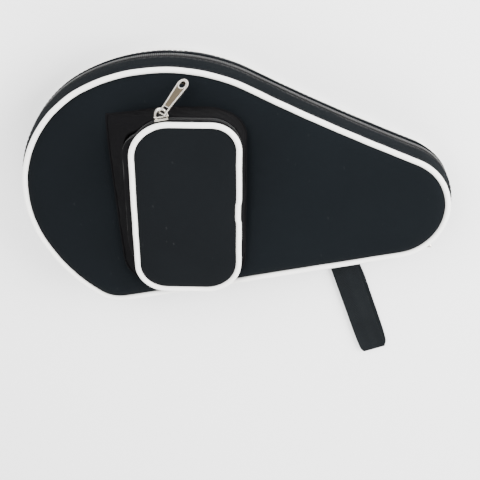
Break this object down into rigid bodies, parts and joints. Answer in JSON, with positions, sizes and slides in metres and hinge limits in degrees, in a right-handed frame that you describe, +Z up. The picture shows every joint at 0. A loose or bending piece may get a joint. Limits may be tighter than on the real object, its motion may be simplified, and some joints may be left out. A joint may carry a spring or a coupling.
{
  "type": "paddle case",
  "caption": "Gourd-shaped padded zip case for a table-tennis bat, with white piping, a zipped wedge pocket on its front and a flat wrist strap at its hinge side.",
  "frame": {"origin": "centre of the round nose of the blade, on the back panel's flat outer face, which rests on the table", "axes": "+X along the straight fabric hinge towards the handle end, +Y away from the hinge and the wrist strap, +Z up out of the front panel and its pocket"},
  "size_m": [0.2976, 0.2793, 0.0692],
  "materials": {
    "shell_fabric": "plain-woven black nylon over foam, matt, faint blue-green cast",
    "pocket_fabric": "the same plain weave on the pocket, neutral black",
    "lining": "smooth black taffeta lining",
    "piping": "white vinyl-coated piping cord, satin",
    "zipper_tape": "tightly woven black zipper tape",
    "zipper_coil": "black nylon coil",
    "binding": "black bias binding over the inside seams",
    "nickel": "bright nickel plate with a brushed recess",
    "webbing": "black twill webbing",
    "thread": "black bar-tack stitching"
  },
  "bodies": {
    "root": {"back_panel": "shell_fabric", "back_lining": "lining", "back_piping": "piping", "rear_gusset": "shell_fabric", "zipper_tape_rear": "zipper_tape", "zipper_coil_rear": "zipper_coil", "hinge_gusset_rear": "shell_fabric", "seam_binding_rear": "binding", "zipper_stop_tip": "nickel", "zipper_stop_corner": "nickel"},
    "lid": {"front_panel": "shell_fabric", "front_lining": "lining", "front_piping": "piping", "front_gusset": "shell_fabric", "zipper_tape_front": "zipper_tape", "zipper_coil_front": "zipper_coil", "hinge_gusset_front": "shell_fabric", "seam_binding_front": "binding", "pocket_gusset": "pocket_fabric", "pocket_tape_lower": "zipper_tape", "pocket_coil_lower": "zipper_coil", "pocket_hinge_lower": "pocket_fabric", "pocket_stop_left": "nickel", "pocket_stop_right": "nickel"},
    "pocket_lid": {"pocket_panel": "pocket_fabric", "pocket_lining": "lining", "pocket_piping": "piping", "pocket_lid_gusset": "pocket_fabric", "pocket_coil_upper": "zipper_coil", "pocket_hinge_upper": "pocket_fabric"},
    "pocket_slider": {"pocket_slider_body": "nickel", "pocket_slider_crown": "nickel"},
    "pocket_pull": {"pocket_pull_tab": "nickel"},
    "main_slider": {"main_slider_body": "nickel", "main_slider_crown": "nickel"},
    "main_pull": {"main_pull_tab": "nickel"},
    "strap": {"wrist_strap": "webbing", "strap_bartack": "thread"}
  },
  "joints": [
    {"name": "lid_hinge", "type": "hinge", "parent": "root", "child": "lid", "pos_m": [0.0644, -0.0859, 0.022], "axis": [1, 0, 0], "range_deg": [0, 135]},
    {"name": "pocket_hinge", "type": "hinge", "parent": "lid", "child": "pocket_lid", "pos_m": [0.0127, -0.07633, 0.04765], "axis": [0.9799, -0.1994, 0], "range_deg": [0, 95]},
    {"name": "pocket_slider_travel", "type": "hinge", "parent": "lid", "child": "pocket_slider", "pos_m": [0.02493, 0.0319, 0.05955], "axis": [-0.0217, -0.1068, 0.994], "range_deg": [-10, 30]},
    {"name": "pocket_pull_swing", "type": "hinge", "parent": "pocket_slider", "child": "pocket_pull", "pos_m": [0.0286, 0.06535, 0.06322], "axis": [0.5896, -0.8044, -0.0736], "range_deg": [0, 110]},
    {"name": "main_slider_travel", "type": "hinge", "parent": "root", "child": "main_slider", "pos_m": [0.165, -0.043, 0.022], "axis": [0, 0, 1], "range_deg": [0, 120]},
    {"name": "main_pull_swing", "type": "hinge", "parent": "main_slider", "child": "main_pull", "pos_m": [0.1869, -0.0879, 0.0202], "axis": [-0.8988, -0.4384, 0], "range_deg": [0, 100]},
    {"name": "strap_fold", "type": "hinge", "parent": "root", "child": "strap", "pos_m": [0.121, -0.0853, 0.003], "axis": [0.9893, 0.1461, 0], "range_deg": [-55, 0]}
  ]
}
